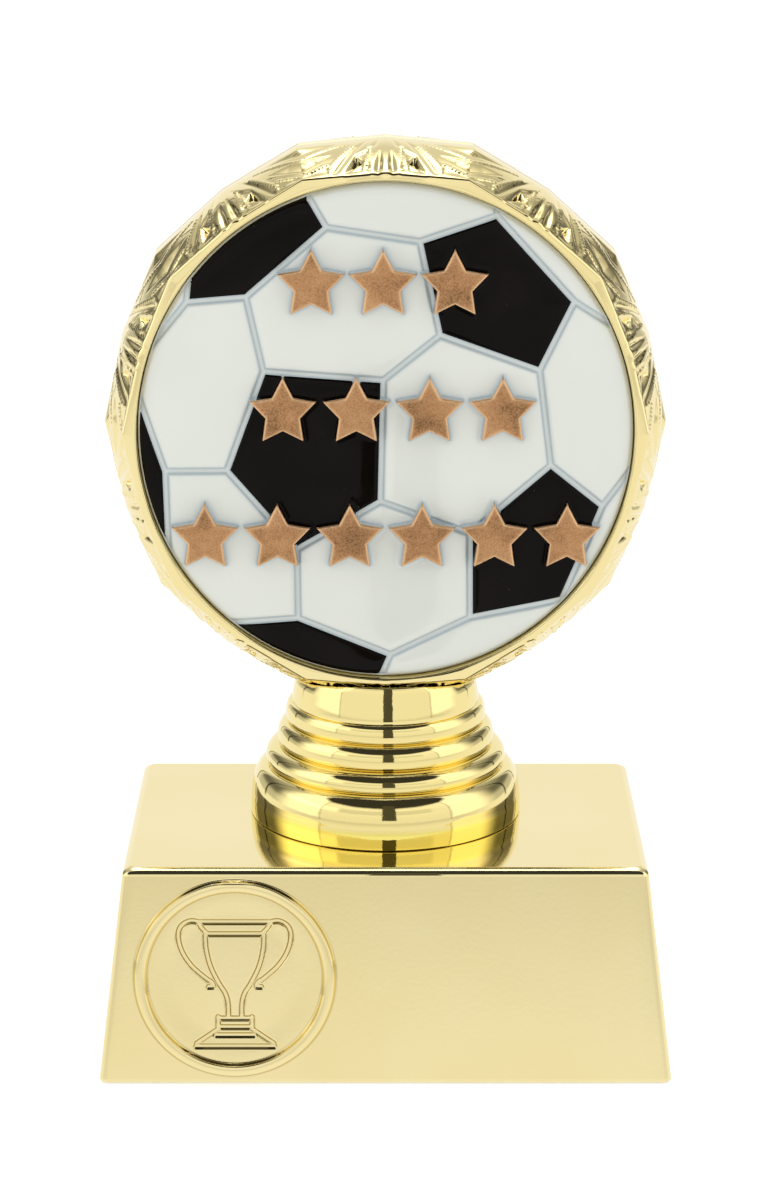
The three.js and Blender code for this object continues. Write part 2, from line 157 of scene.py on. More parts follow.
# ---------------------------------------------------------------------------
# Materials
# ---------------------------------------------------------------------------
def new_material(name):
    m = bpy.data.materials.new(name)
    m.use_nodes = True
    nt = m.node_tree
    nt.nodes.clear()
    out = nt.nodes.new("ShaderNodeOutputMaterial")
    bsdf = nt.nodes.new("ShaderNodeBsdfPrincipled")
    nt.links.new(bsdf.outputs["BSDF"], out.inputs["Surface"])
    return m, nt, bsdf


def coords(nt, scale=1.0):
    tc = nt.nodes.new("ShaderNodeTexCoord")
    if scale == 1.0:
        return tc.outputs["Object"]
    mp = nt.nodes.new("ShaderNodeMapping")
    mp.inputs["Scale"].default_value = (scale, scale, scale) if np.isscalar(scale) else scale
    nt.links.new(tc.outputs["Object"], mp.inputs["Vector"])
    return mp.outputs["Vector"]


def noise(nt, vec, scale, detail=3.0, rough=0.5):
    n = nt.nodes.new("ShaderNodeTexNoise")
    n.inputs["Scale"].default_value = scale
    n.inputs["Detail"].default_value = detail
    n.inputs["Roughness"].default_value = rough
    nt.links.new(vec, n.inputs["Vector"])
    return n


def ramp(nt, fac, stops, interp="LINEAR"):
    r = nt.nodes.new("ShaderNodeValToRGB")
    r.color_ramp.interpolation = interp
    while len(r.color_ramp.elements) < len(stops):
        r.color_ramp.elements.new(0.5)
    for e, (pos, col) in zip(r.color_ramp.elements, stops):
        e.position = pos
        e.color = (*col, 1) if len(col) == 3 else col
    nt.links.new(fac, r.inputs["Fac"])
    return r.outputs["Color"]


def maprange(nt, val, a, b, c, d):
    m = nt.nodes.new("ShaderNodeMapRange")
    for k, v in (("From Min", a), ("From Max", b), ("To Min", c), ("To Max", d)):
        m.inputs[k].default_value = v
    nt.links.new(val, m.inputs["Value"])
    return m.outputs["Result"]


def bump(nt, bsdf, height, strength, distance, previous=None):
    b = nt.nodes.new("ShaderNodeBump")
    b.inputs["Strength"].default_value = strength
    b.inputs["Distance"].default_value = distance
    nt.links.new(height, b.inputs["Height"])
    if previous is not None:
        nt.links.new(previous, b.inputs["Normal"])
    nt.links.new(b.outputs["Normal"], bsdf.inputs["Normal"])
    return b.outputs["Normal"]


def mix_rgb(nt, fac, a, b, mode="MIX"):
    m = nt.nodes.new("ShaderNodeMix")
    m.data_type = "RGBA"
    m.blend_type = mode
    if isinstance(fac, (int, float)):
        m.inputs[0].default_value = fac
    else:
        nt.links.new(fac, m.inputs[0])
    for v, i in ((a, 6), (b, 7)):
        if isinstance(v, tuple):
            m.inputs[i].default_value = (*v, 1)
        else:
            nt.links.new(v, m.inputs[i])
    return m.outputs[2]


def gold_material(name, tint=(0.90, 0.77, 0.40), rough=(0.035, 0.09), wave=0.012, fine=0.02):
    m, nt, bsdf = new_material(name)
    vec = coords(nt)
    drift = noise(nt, vec, 38.0, 2.0)
    col = ramp(nt, drift.outputs["Fac"], [
        (0.30, tuple(c * k for c, k in zip(tint, (0.985, 0.975, 0.93)))),
        (0.72, tuple(min(1.0, c * k) for c, k in zip(tint, (1.01, 1.015, 1.06)))),
    ])
    # painted shade: a mesh attribute darkens the gold towards a dark olive
    at = nt.nodes.new("ShaderNodeAttribute")
    at.attribute_name = "painted_shade"
    # painted reflection: the deep attribute turns the gold a richer, more saturated yellow
    reflection_tint = nt.nodes.new("ShaderNodeAttribute")
    reflection_tint.attribute_name = "deep"
    col = mix_rgb(nt, reflection_tint.outputs["Fac"], col, tuple(min(1.0, c * k) for c, k in zip(tint, (1.04, 1.03, 0.62))))
    shaded_col = mix_rgb(nt, maprange(nt, at.outputs["Fac"], 0.0, 1.0, 0.0, 0.8), col, tuple(c * k for c, k in zip(tint, (0.30, 0.26, 0.16))))
    nt.links.new(shaded_col, bsdf.inputs["Base Color"])
    bsdf.inputs["Metallic"].default_value = 1.0
    smear = noise(nt, vec, 240.0, 4.0, 0.6)
    nt.links.new(maprange(nt, smear.outputs["Fac"], 0.3, 0.75, rough[0], rough[1]), bsdf.inputs["Roughness"])
    slow = noise(nt, vec, 55.0, 1.0)
    n1 = bump(nt, bsdf, slow.outputs["Fac"], wave, 0.004)
    grain = noise(nt, vec, 1500.0, 2.0)
    bump(nt, bsdf, grain.outputs["Fac"], fine, 0.0002, n1)
    return m


gold_base = gold_material("gold_plating_base", tint=(0.91, 0.78, 0.41), wave=0.010)
gold_riser = gold_material("gold_plating_riser", tint=(0.91, 0.77, 0.34), rough=(0.03, 0.07), wave=0.008)
gold_holder = gold_material("gold_plating_holder", tint=(0.91, 0.77, 0.38), rough=(0.03, 0.07), wave=0.006)


def enamel_white():
    m, nt, bsdf = new_material("white_enamel")
    vec = coords(nt)
    blotch = noise(nt, vec, 60.0, 3.0)
    tone = ramp(nt, blotch.outputs["Fac"], [(0.3, (0.600, 0.620, 0.565)), (0.7, (0.635, 0.652, 0.597))])
    # painted shade: blue-grey along the seams' walls and round the stars' feet, from the groove attribute
    at = nt.nodes.new("ShaderNodeAttribute")
    at.attribute_name = "groove"
    seam_shaded = mix_rgb(nt, maprange(nt, at.outputs["Fac"], 0.0, 1.0, 0.0, 0.85), tone, (0.27, 0.36, 0.43))
    speck = nt.nodes.new("ShaderNodeTexVoronoi")
    speck.inputs["Scale"].default_value = 420.0
    nt.links.new(vec, speck.inputs["Vector"])
    dot = maprange(nt, speck.outputs["Distance"], 0.015, 0.05, 1.0, 0.0)
    pick = noise(nt, vec, 190.0, 1.0)
    some = maprange(nt, pick.outputs["Fac"], 0.66, 0.70, 0.0, 0.5)
    mm = nt.nodes.new("ShaderNodeMath")
    mm.operation = "MULTIPLY"
    nt.links.new(dot, mm.inputs[0])
    nt.links.new(some, mm.inputs[1])
    nt.links.new(mix_rgb(nt, mm.outputs[0], seam_shaded, (0.42, 0.40, 0.34)), bsdf.inputs["Base Color"])
    bsdf.inputs["IOR"].default_value = 1.5
    fineness = noise(nt, vec, 300.0, 2.0)
    nt.links.new(maprange(nt, fineness.outputs["Fac"], 0.3, 0.7, 0.10, 0.20), bsdf.inputs["Roughness"])
    bsdf.inputs["Coat Weight"].default_value = 0.6
    bsdf.inputs["Coat Roughness"].default_value = 0.06
    pool = noise(nt, vec, 110.0, 2.0)
    bump(nt, bsdf, pool.outputs["Fac"], 0.05, 0.0006)
    return m


def enamel_black():
    m, nt, bsdf = new_material("black_enamel")
    vec = coords(nt)
    blotch = noise(nt, vec, 90.0, 3.0)
    tone = ramp(nt, blotch.outputs["Fac"], [(0.35, (0.0022, 0.0016, 0.0011)), (0.75, (0.0055, 0.0040, 0.0028))])
    dust = nt.nodes.new("ShaderNodeTexVoronoi")
    dust.inputs["Scale"].default_value = 700.0
    nt.links.new(vec, dust.inputs["Vector"])
    dots = maprange(nt, dust.outputs["Distance"], 0.03, 0.08, 1.0, 0.0)
    pick = noise(nt, vec, 260.0, 1.0)
    some = maprange(nt, pick.outputs["Fac"], 0.60, 0.66, 0.0, 0.6)
    mm = nt.nodes.new("ShaderNodeMath")
    mm.operation = "MULTIPLY"
    nt.links.new(dots, mm.inputs[0])
    nt.links.new(some, mm.inputs[1])
    nt.links.new(mix_rgb(nt, mm.outputs[0], tone, (0.12, 0.08, 0.05)), bsdf.inputs["Base Color"])
    rv = noise(nt, vec, 200.0, 2.0)
    nt.links.new(maprange(nt, rv.outputs["Fac"], 0.3, 0.7, 0.04, 0.10), bsdf.inputs["Roughness"])
    bsdf.inputs["Specular IOR Level"].default_value = 0.085
    pool = noise(nt, vec, 130.0, 2.0)
    bump(nt, bsdf, pool.outputs["Fac"], 0.08, 0.0006)
    return m


def bronze_paint():
    m, nt, bsdf = new_material("bronze_paint")
    vec = coords(nt)
    patina = noise(nt, vec, 170.0, 5.0, 0.62)
    tone = ramp(nt, patina.outputs["Fac"], [
        (0.28, (0.185, 0.082, 0.030)), (0.50, (0.42, 0.205, 0.085)), (0.72, (0.56, 0.30, 0.14))])
    flake = nt.nodes.new("ShaderNodeTexVoronoi")
    flake.inputs["Scale"].default_value = 4200.0
    nt.links.new(vec, flake.inputs["Vector"])
    flakes = mix_rgb(nt, maprange(nt, flake.outputs["Distance"], 0.0, 0.8, 0.45, 0.0), tone, (0.78, 0.50, 0.26))
    at = nt.nodes.new("ShaderNodeAttribute")
    at.attribute_name = "wear"
    worn = mix_rgb(nt, maprange(nt, at.outputs["Fac"], 0.0, 1.0, 0.0, 0.8), flakes, (0.86, 0.55, 0.30))
    nt.links.new(worn, bsdf.inputs["Base Color"])
    bsdf.inputs["Metallic"].default_value = 0.85
    nt.links.new(maprange(nt, patina.outputs["Fac"], 0.3, 0.7, 0.52, 0.36), bsdf.inputs["Roughness"])
    n1 = bump(nt, bsdf, flake.outputs["Distance"], 0.35, 0.00012)
    scratch = noise(nt, coords(nt, (900.0, 900.0, 90.0)), 1.0, 3.0)
    bump(nt, bsdf, scratch.outputs["Fac"], 0.10, 0.0002, n1)
    return m


def steel_material(name, tint, rough):
    m, nt, bsdf = new_material(name)
    vec = coords(nt, (900.0, 60.0, 900.0))
    lines = noise(nt, vec, 1.0, 4.0)
    nt.links.new(ramp(nt, lines.outputs["Fac"], [(0.3, tuple(c * 0.85 for c in tint)), (0.7, tint)]), bsdf.inputs["Base Color"])
    bsdf.inputs["Metallic"].default_value = 1.0
    nt.links.new(maprange(nt, lines.outputs["Fac"], 0.3, 0.7, rough, rough + 0.15), bsdf.inputs["Roughness"])
    bump(nt, bsdf, lines.outputs["Fac"], 0.15, 0.0002)
    return m


def foam_material():
    m, nt, bsdf = new_material("foam_tape")
    vec = coords(nt)
    cell = nt.nodes.new("ShaderNodeTexVoronoi")
    cell.inputs["Scale"].default_value = 1800.0
    nt.links.new(vec, cell.inputs["Vector"])
    nt.links.new(ramp(nt, cell.outputs["Distance"], [(0.1, (0.62, 0.61, 0.56)), (0.6, (0.82, 0.81, 0.77))]), bsdf.inputs["Base Color"])
    nt.links.new(maprange(nt, cell.outputs["Distance"], 0.0, 1.0, 0.75, 0.95), bsdf.inputs["Roughness"])
    bump(nt, bsdf, cell.outputs["Distance"], 0.3, 0.0003)
    return m


white = enamel_white()
black = enamel_black()
bronze = bronze_paint()
zinc = steel_material("zinc_plated_steel", (0.72, 0.73, 0.74), 0.22)
rolled = steel_material("rolled_steel", (0.55, 0.56, 0.57), 0.35)
foam = foam_material()


# ---------------------------------------------------------------------------
# Base shell
# ---------------------------------------------------------------------------
def base_half(z):
    return (BASE_W + (TOP_W - BASE_W) * z / BASE_H) / 2, (BASE_D + (TOP_D - BASE_D) * z / BASE_H) / 2


SLOPE = math.atan2((BASE_D - TOP_D) / 2, BASE_H)


def emblem_height(u, v):
    """Raised ring and engraved cup at (u, v) mm from the ring's centre: the height in mm above
    the face, and how much painted shade each point gets."""
    r = np.hypot(u, v)
    # ring: a band with steep walls and a rounded top, over a very slightly dished field
    k = (r - 13.07) / 0.97
    h = 0.80 * smoothstep(0.0, 0.44, 1.00 - np.abs(r - 13.07)) + 0.12 * np.clip(1 - k * k, 0, 1)
    h = h - 0.05 * (1 - smoothstep(8.0, 12.1, r))
    # engraved two-handled cup
    au = np.abs(u)
    d = np.full(r.shape, 1e9)

    def stroke(points, n=10, curved=True):
        nonlocal d
        pts = spline(points, n) if curved else np.asarray(points, float)
        d = np.minimum(d, path_distance(au, v, pts))

    stroke([(4.05, 6.05), (3.95, 4.1), (3.35, 1.6), (2.2, -0.8), (1.35, -2.2), (0.98, -3.6), (0.92, -5.5)])
    stroke([(3.9, 6.35), (4.6, 7.15), (5.1, 7.95), (6.3, 8.05), (7.45, 7.25), (7.78, 5.75), (7.25, 3.7), (6.0, 1.75), (4.4, 0.25), (3.1, -0.75)])
    stroke([(3.4, -0.45), (2.95, -1.15), (3.65, -1.25)], 6)
    stroke([(0.0, 7.95), (5.1, 7.95)], curved=False)
    stroke([(0.0, 6.25), (4.0, 6.25)], curved=False)
    stroke([(2.35, -5.55), (2.35, -7.1)], curved=False)
    stroke([(0.0, -5.75), (2.3, -5.75)], curved=False)
    stroke([(0.0, -7.0), (2.3, -7.0)], curved=False)
    stroke([(2.35, -7.3), (5.35, -9.35)], curved=False)
    stroke([(0.0, -8.15), (2.6, -8.15)], curved=False)
    stroke([(0.0, -9.75), (5.45, -9.75)], curved=False)
    h = h - 0.34 * (1 - np.clip((d - 0.20) / 0.22, 0, 1))
    # painted shade along the walls of the engraved strokes and round the ring's foot
    painted_shade = 0.75 * np.exp(-((d - 0.31) / 0.13) ** 2) + 0.6 * np.exp(-((np.abs(r - 13.07) - 0.97) / 0.12) ** 2)
    # painted dark reflection on the ring's upward walls, except at the very top and bottom
    turn = np.degrees(np.arctan2(au, v))
    high = smoothstep(10, 24, turn) * (1 - smoothstep(58, 92, turn)) * np.exp(-((r - 13.80) / 0.20) ** 2)
    low = smoothstep(10, 24, 180 - turn) * (1 - smoothstep(58, 92, 180 - turn)) * np.exp(-((r - 12.34) / 0.20) ** 2)
    painted_shade = np.maximum(painted_shade, 0.75 * (high + low))
    return h, np.clip(painted_shade, 0, 1)


def build_base():
    rc = 1.1
    # columns around the rounded rectangle, starting on the front face at the left
    u_mid = RING_X
    cols = []   # (side, parameter)
    dense = np.linspace(-35.6, -6.0, 256)
    half_straight = base_half(RING_Z)[0] - rc
    front = np.concatenate([[-half_straight, -36.0], dense, [-4.0, 0.0, 6.0, 12.0, 18.0, 24.0, 30.0, 34.5, half_straight]])
    front_c = (front + half_straight) / (2 * half_straight)
    arc = np.linspace(0, 1, 9)[1:-1]
    side_c = np.concatenate([[0.0, 0.02], np.linspace(0, 1, 9)[1:-1], [0.98, 1.0]])
    col = []
    for c in front_c:
        col.append(("f", c))
    for a in arc:
        col.append(("cfr", a))
    for c in side_c:
        col.append(("r", c))
    for a in arc:
        col.append(("cbr", a))
    for c in side_c:
        col.append(("b", c))
    for a in arc:
        col.append(("cbl", a))
    for c in side_c:
        col.append(("l", c))
    for a in arc:
        col.append(("cfl", a))
    n = len(col)

    def loop(w, d, r, z):
        """The rounded rectangle of half sizes w, d and corner radius r."""
        r = max(r, 0.02)
        pts = np.zeros((n, 3))
        for i, (k, c) in enumerate(col):
            if k == "f":
                p = (-(w - r) + 2 * (w - r) * c, -d)
            elif k == "r":
                p = (w, -(d - r) + 2 * (d - r) * c)
            elif k == "b":
                p = ((w - r) - 2 * (w - r) * c, d)
            elif k == "l":
                p = (-w, (d - r) - 2 * (d - r) * c)
            else:
                t = c * math.pi / 2
                cx = (w - r) * (1 if k in ("cfr", "cbr") else -1)
                cy = (d - r) * (1 if k in ("cbr", "cbl") else -1)
                start = {"cfr": -math.pi / 2, "cbr": 0, "cbl": math.pi / 2, "cfl": math.pi}[k]
                p = (cx + r * math.cos(start + t), cy + r * math.sin(start + t))
            pts[i] = (p[0], p[1], z)
        return pts

    def circle(r, z, like):
        a = np.arctan2(like[:, 1] - AXIS_Y, like[:, 0])
        return np.stack([r * np.cos(a), AXIS_Y + r * np.sin(a), np.full(n, z)], 1)

    rows = []
    top_r = 1.15
    # over the top: hole edge, then out to the fillet
    wt, dt = base_half(BASE_H)
    first_flat = loop(wt - top_r - 0.35, dt - top_r - 0.35, rc, BASE_H)
    rows.append(circle(2.8, BASE_H, first_flat))
    rows.append(circle(6.0, BASE_H, first_flat))
    rows.append(first_flat)
    # the top edge: a soft flat bevel that rolls over into the face; slope against arc length
    arc_s = np.linspace(0, 1.5, 17)
    arc_a = np.radians(np.interp(arc_s, [0, 0.75, 1.32, 1.5], [22, 36, 66, 90 - math.degrees(SLOPE)]))
    mid_a = (arc_a[1:] + arc_a[:-1]) / 2
    out_s = np.concatenate([[0], np.cumsum(np.cos(mid_a))]) * arc_s[1]
    drop_s = np.concatenate([[0], np.cumsum(np.sin(mid_a))]) * arc_s[1]
    w, d = base_half(BASE_H - drop_s[-1])
    rows.append(loop(w - out_s[-1] - 0.04, d - out_s[-1] - 0.04, rc, BASE_H))
    for o_, z_ in zip(out_s, drop_s):
        rows.append(loop(w - (out_s[-1] - o_), d - (out_s[-1] - o_), rc, BASE_H - z_))
    z_hi = rows[-1][0, 2]
    shade = {}
    for z in np.linspace(z_hi, 0.45, 250)[1:]:
        w, d = base_half(z)
        p = loop(w, d, rc, z)
        # displace the front face along its outward normal
        nf = len(front_c)
        x = p[:nf, 0]
        v = (z - RING_Z) / math.cos(SLOPE)
        h, painted_shade = emblem_height(x - RING_X, np.full(nf, v))
        fade = smoothstep(0.0, 0.8, BASE_H - 1.2 - z) * smoothstep(0.1, 0.6, z)
        h = h * fade
        shade[len(rows)] = painted_shade * fade
        p[:nf, 1] -= h * math.cos(SLOPE)
        p[:nf, 2] += h * math.sin(SLOPE)
        rows.append(p)
    w, d = base_half(0.0)
    for a in np.linspace(0, math.pi / 2, 4)[1:]:
        rows.append(loop(w - 0.4 * (1 - math.cos(a)), d - 0.4 * (1 - math.cos(a)), rc, 0.4 * (1 - math.sin(a))))
    wall = 2.2
    rows.append(loop(w - wall + 0.2, d - wall + 0.2, 1.0, 0.0))
    rows.append(loop(w - wall, d - wall, 1.0, 0.2))
    zc = BASE_H - 2.4
    wi, di = base_half(zc)
    rows.append(loop(wi - wall, di - wall, 1.0, zc - 0.3))
    rows.append(loop(wi - wall - 0.3, di - wall - 0.3, 1.0, zc))
    inner = rows[-1]
    rows.append(circle(6.8, zc, inner))
    rows.append(circle(6.5, zc - 0.3, inner))
    rows.append(circle(6.5, zc - 3.2, inner))
    rows.append(circle(6.4, zc - 3.3, inner))
    rows.append(circle(2.8, zc - 3.3, inner))
    verts = np.concatenate(rows)
    faces = ring_faces(len(rows), n)
    o = make_object("base_body", verts, list(faces))
    # painted shade for the emblem's strokes and ring, read by the gold material
    dark = np.zeros((len(rows), n))
    for i, c in shade.items():
        dark[i, :len(c)] = c
    float_attribute(o, "painted_shade", dark.ravel())
    outward(o)
    return o


base = build_base()
base.data.materials.append(gold_base)
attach(base, "root")
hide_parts("base_shell")


# ---------------------------------------------------------------------------
# Stepped riser
# ---------------------------------------------------------------------------
def drum_drop(t):
    """How far the drum's outline has fallen in, t mm from the equator."""
    return (np.clip(np.abs(t) - 0.6, 0, None) / (HALF_T - 0.6)) ** 2.1


def holder_radius(t):
    return R_MID - (R_MID - LIP_MID) * drum_drop(t) + 0.15


def build_riser():
    n = 288
    th = np.linspace(0, 2 * math.pi, n, endpoint=False)
    z0 = BASE_H + 0.02
    prof = [(12.56, 51.90), (12.66, 51.70), (12.78, 50.9), (13.01, 49.6), (13.23, 48.4), (13.42, 47.4), (13.44, 47.0)]
    r0, zt = 13.44, 46.8
    tiers = [(14.34, 43.9), (15.52, 40.5), (17.22, 37.6)]
    for k, (r, z) in enumerate(tiers):
        h = zt - z
        prof.append((r0 - 0.02, zt + 0.06))
        prof.append((r0 + 0.02, zt))
        drop = h * 0.66
        for a in np.linspace(0.10, math.pi / 2, 12):
            prof.append((r0 + (r - r0) * math.sin(a) ** 0.9, zt - drop * (1 - math.cos(a)) - 0.01))
        prof.append((r + 0.01, z + 0.85))
        for b in np.radians([12, 24, 36, 48, 60, 72]):
            prof.append((r - 0.62 * (1 - math.cos(b)), z + 0.72 * (1 - math.sin(b))))
        r0, zt = r - 0.48, z
    # last tier: a wide shoulder rolling into a short straight foot
    r, z = 19.32, 33.0
    prof.append((r0 - 0.02, zt + 0.06))
    prof.append((r0 + 0.02, zt))
    for a in np.linspace(0.08, math.pi / 2 * 0.985, 22):
        prof.append((r0 + (r - r0) * math.sin(a) ** 0.88, zt - (zt - z) * (1 - math.cos(a)) - 0.01))
    wall_top = len(prof)
    prof += [(19.40, 32.55), (19.42, 32.2), (19.44, 31.6), (19.45, z0 + 0.20), (19.44, z0 + 0.13), (19.36, z0 + 0.05), (19.25, z0)]
    inner = [(17.8, z0), (17.65, z0 + 0.15), (17.6, 33.2), (15.6, 36.2), (13.8, 39.2), (12.6, 42.6), (11.6, 46.0), (11.2, 46.2), (2.9, 46.2), (2.8, 46.3)]
    rows = []
    for k, (r, z) in enumerate(prof + inner):
        z = np.full(n, z)
        if k < 4:        # the neck's rim follows the underside of the head
            R = holder_radius(r * np.sin(th)) + 0.12
            under = BALL_Z - HEAD_SZ * np.sqrt(np.maximum(R * R - (r * np.cos(th) / HEAD_SX) ** 2, 0))
            z = np.minimum(z, under - 0.08 - 0.10 * k)
        rows.append(np.stack([r * np.cos(th), AXIS_Y + r * np.sin(th), z], 1))
    # the neck's top, sunk under the holder
    def top(r, z_flat):
        x, y = r * np.cos(th), r * np.sin(th)
        R = holder_radius(y) + 0.12
        under = BALL_Z - HEAD_SZ * np.sqrt(np.maximum(R * R - (x / HEAD_SX) ** 2, 0))
        seat = np.minimum(under - 0.08, z_flat + 1.15)
        low = np.minimum(z_flat, under - 0.08)
        z = low + (seat - low) * (1 - smoothstep(11.35, 11.95, np.full(n, r)))
        return np.stack([x, AXIS_Y + y, z], 1)
    for r in np.concatenate([np.linspace(2.8, 11.2, 32), np.linspace(11.35, 12.1, 11)]):
        rows.append(top(r, 51.95))
    rows.append(top(12.35, 51.97))
    rows.append(top(12.48, 51.95))
    verts = np.concatenate(rows)
    o = make_object("riser_body", verts, list(ring_faces(len(rows), n)))
    deep, painted_shade = np.zeros((len(rows), n)), np.zeros((len(rows), n))
    # painted reflection: the foot wall turns a deeper yellow, as if mirroring the gold base top
    deep[wall_top:wall_top + 7] = 1.0
    # painted shade along the foot's bottom edge, where it sits on the base
    painted_shade[wall_top + 5:wall_top + 7] = 1.0
    float_attribute(o, "deep", deep.ravel())
    float_attribute(o, "painted_shade", painted_shade.ravel())
    outward(o)
    return o


riser = build_riser()
riser.data.materials.append(gold_riser)
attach(riser, "root")
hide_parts("riser_shell")


# ---------------------------------------------------------------------------
# Cut-glass style holder: two half shells with ten-fold relief
# ---------------------------------------------------------------------------
def relief(x, y, L):
    """Depth in mm cut into the drum at x mm from a fan's centre line and y mm along the
    surface from the equator. Both halves of a fan mirror each other."""
    x = np.abs(x)
    cut = np.zeros_like(x)
    rise = np.zeros_like(x)

    def ray(points, widths, depth, skew=0.5):
        """A straight-walled trough along a polyline; widths at its ends; skew places the valley."""
        nonlocal cut
        (x0, y0), (x1, y1) = points
        dx, dy = x1 - x0, y1 - y0
        ln = math.hypot(dx, dy)
        p = ((x - x0) * dx + (y - y0) * dy) / ln
        q = ((x - x0) * dy - (y - y0) * dx) / ln        # positive away from the centre line
        s = p / ln
        w = np.interp(s, np.linspace(0, 1, len(widths)), widths)
        w = np.where((s < 0) | (s > 1), 1e-6, np.maximum(w, 1e-6))
        lo, hi = w * skew, w * (1 - skew)
        v = np.minimum((q + lo) / lo, (hi - q) / hi)
        k = np.clip(w / max(widths), 0, 1)
        cut = np.maximum(cut, depth * np.clip(v, 0, 1) * k)

    def flat(poly, depth, wall=0.30):
        """A flat-bottomed recess with straight walls."""
        nonlocal cut
        d = np.full(x.shape, 1e9)
        for i in range(len(poly)):
            (ax, ay), (bx, by) = poly[i - 1], poly[i]
            d = np.minimum(d, seg_distance(x, y, ax, ay, bx, by))
        d = np.where(in_polygon(x, y, poly), d, 0)
        cut = np.maximum(cut, depth * np.clip(d / wall, 0, 1))

    def beads(points, step=0.66, size=0.31, height=0.17):
        """A row of small domes along a line."""
        nonlocal rise
        (x0, y0), (x1, y1) = points
        ln = math.hypot(x1 - x0, y1 - y0)
        n = max(1, int(round(ln / step)))
        ux, uy = (x1 - x0) / ln, (y1 - y0) / ln
        p = (x - x0) * ux + (y - y0) * uy
        q = -(x - x0) * uy + (y - y0) * ux
        near = p - np.clip(np.round(p / (ln / n)), 0, n) * (ln / n)
        d = np.hypot(near, q) / size
        rise = np.maximum(rise, height * np.sqrt(np.clip(1 - d * d, 0, None)))

    # the fan's middle: a narrow kite between two flutes
    ray(((0.62, 5.4), (1.15, 12.9)), (0.05, 1.30, 1.55), 0.55, 0.45)
    ray(((0.75, 1.2), (2.4, 7.4)), (0.1, 0.8, 0.1), 0.16)
    # white wedge with its dark notch, set down from the surface
    flat([(1.9, 13.4), (2.25, 8.6), (1.9, 4.4), (3.3, 6.2), (4.5, 7.0), (6.9, 13.4)], 0.20, 0.40)
    flat([(2.95, 9.1), (4.30, 6.9), (5.60, 11.3)], 0.92, 0.60)
    beads(((2.15, 4.9), (2.75, 9.6)))
    beads(((2.75, 7.4), (3.15, 10.4)))
    beads(((2.55, 10.9), (4.6, 11.6)), 0.62)
    beads(((3.0, 11.7), (4.9, 12.1)), 0.62)
    # long smooth ridge, fluted on its outer flank
    ray(((2.4, 1.6), (7.6, 11.4)), (0.1, 1.0, 1.2, 0.9), 0.24, 0.7)
    beads(((4.6, 4.3), (8.0, 9.7)))
    beads(((8.05, 9.9), (8.1, 11.3)))
    # the big leaf sweeping to the corner, beads under it and a small lens at the lip
    ray(((7.3, 6.3), (15.5, 10.4)), (0.05, 1.9, 2.6, 2.4), 0.62, 0.25)
    beads(((8.4, 8.9), (15.0, 12.0)), 0.62)
    ray(((7.9, 11.9), (12.9, 13.1)), (0.05, 0.9, 0.05), 0.30, 0.4)
    # a second pair of beaded rays and a leaf above the big one
    beads(((5.4, 3.2), (14.6, 7.3)), 0.62, 0.30, 0.12)
    ray(((6.4, 2.5), (14.8, 5.5)), (0.05, 1.3, 1.9, 1.7), 0.30, 0.3)
    edge = smoothstep(0.15, 0.9, y)
    near_lip = 1 - smoothstep(L - 1.0, L - 0.25, y)
    return (cut * (0.22 + 0.78 * near_lip) - rise * smoothstep(0.6, 1.3, y) * near_lip) * edge


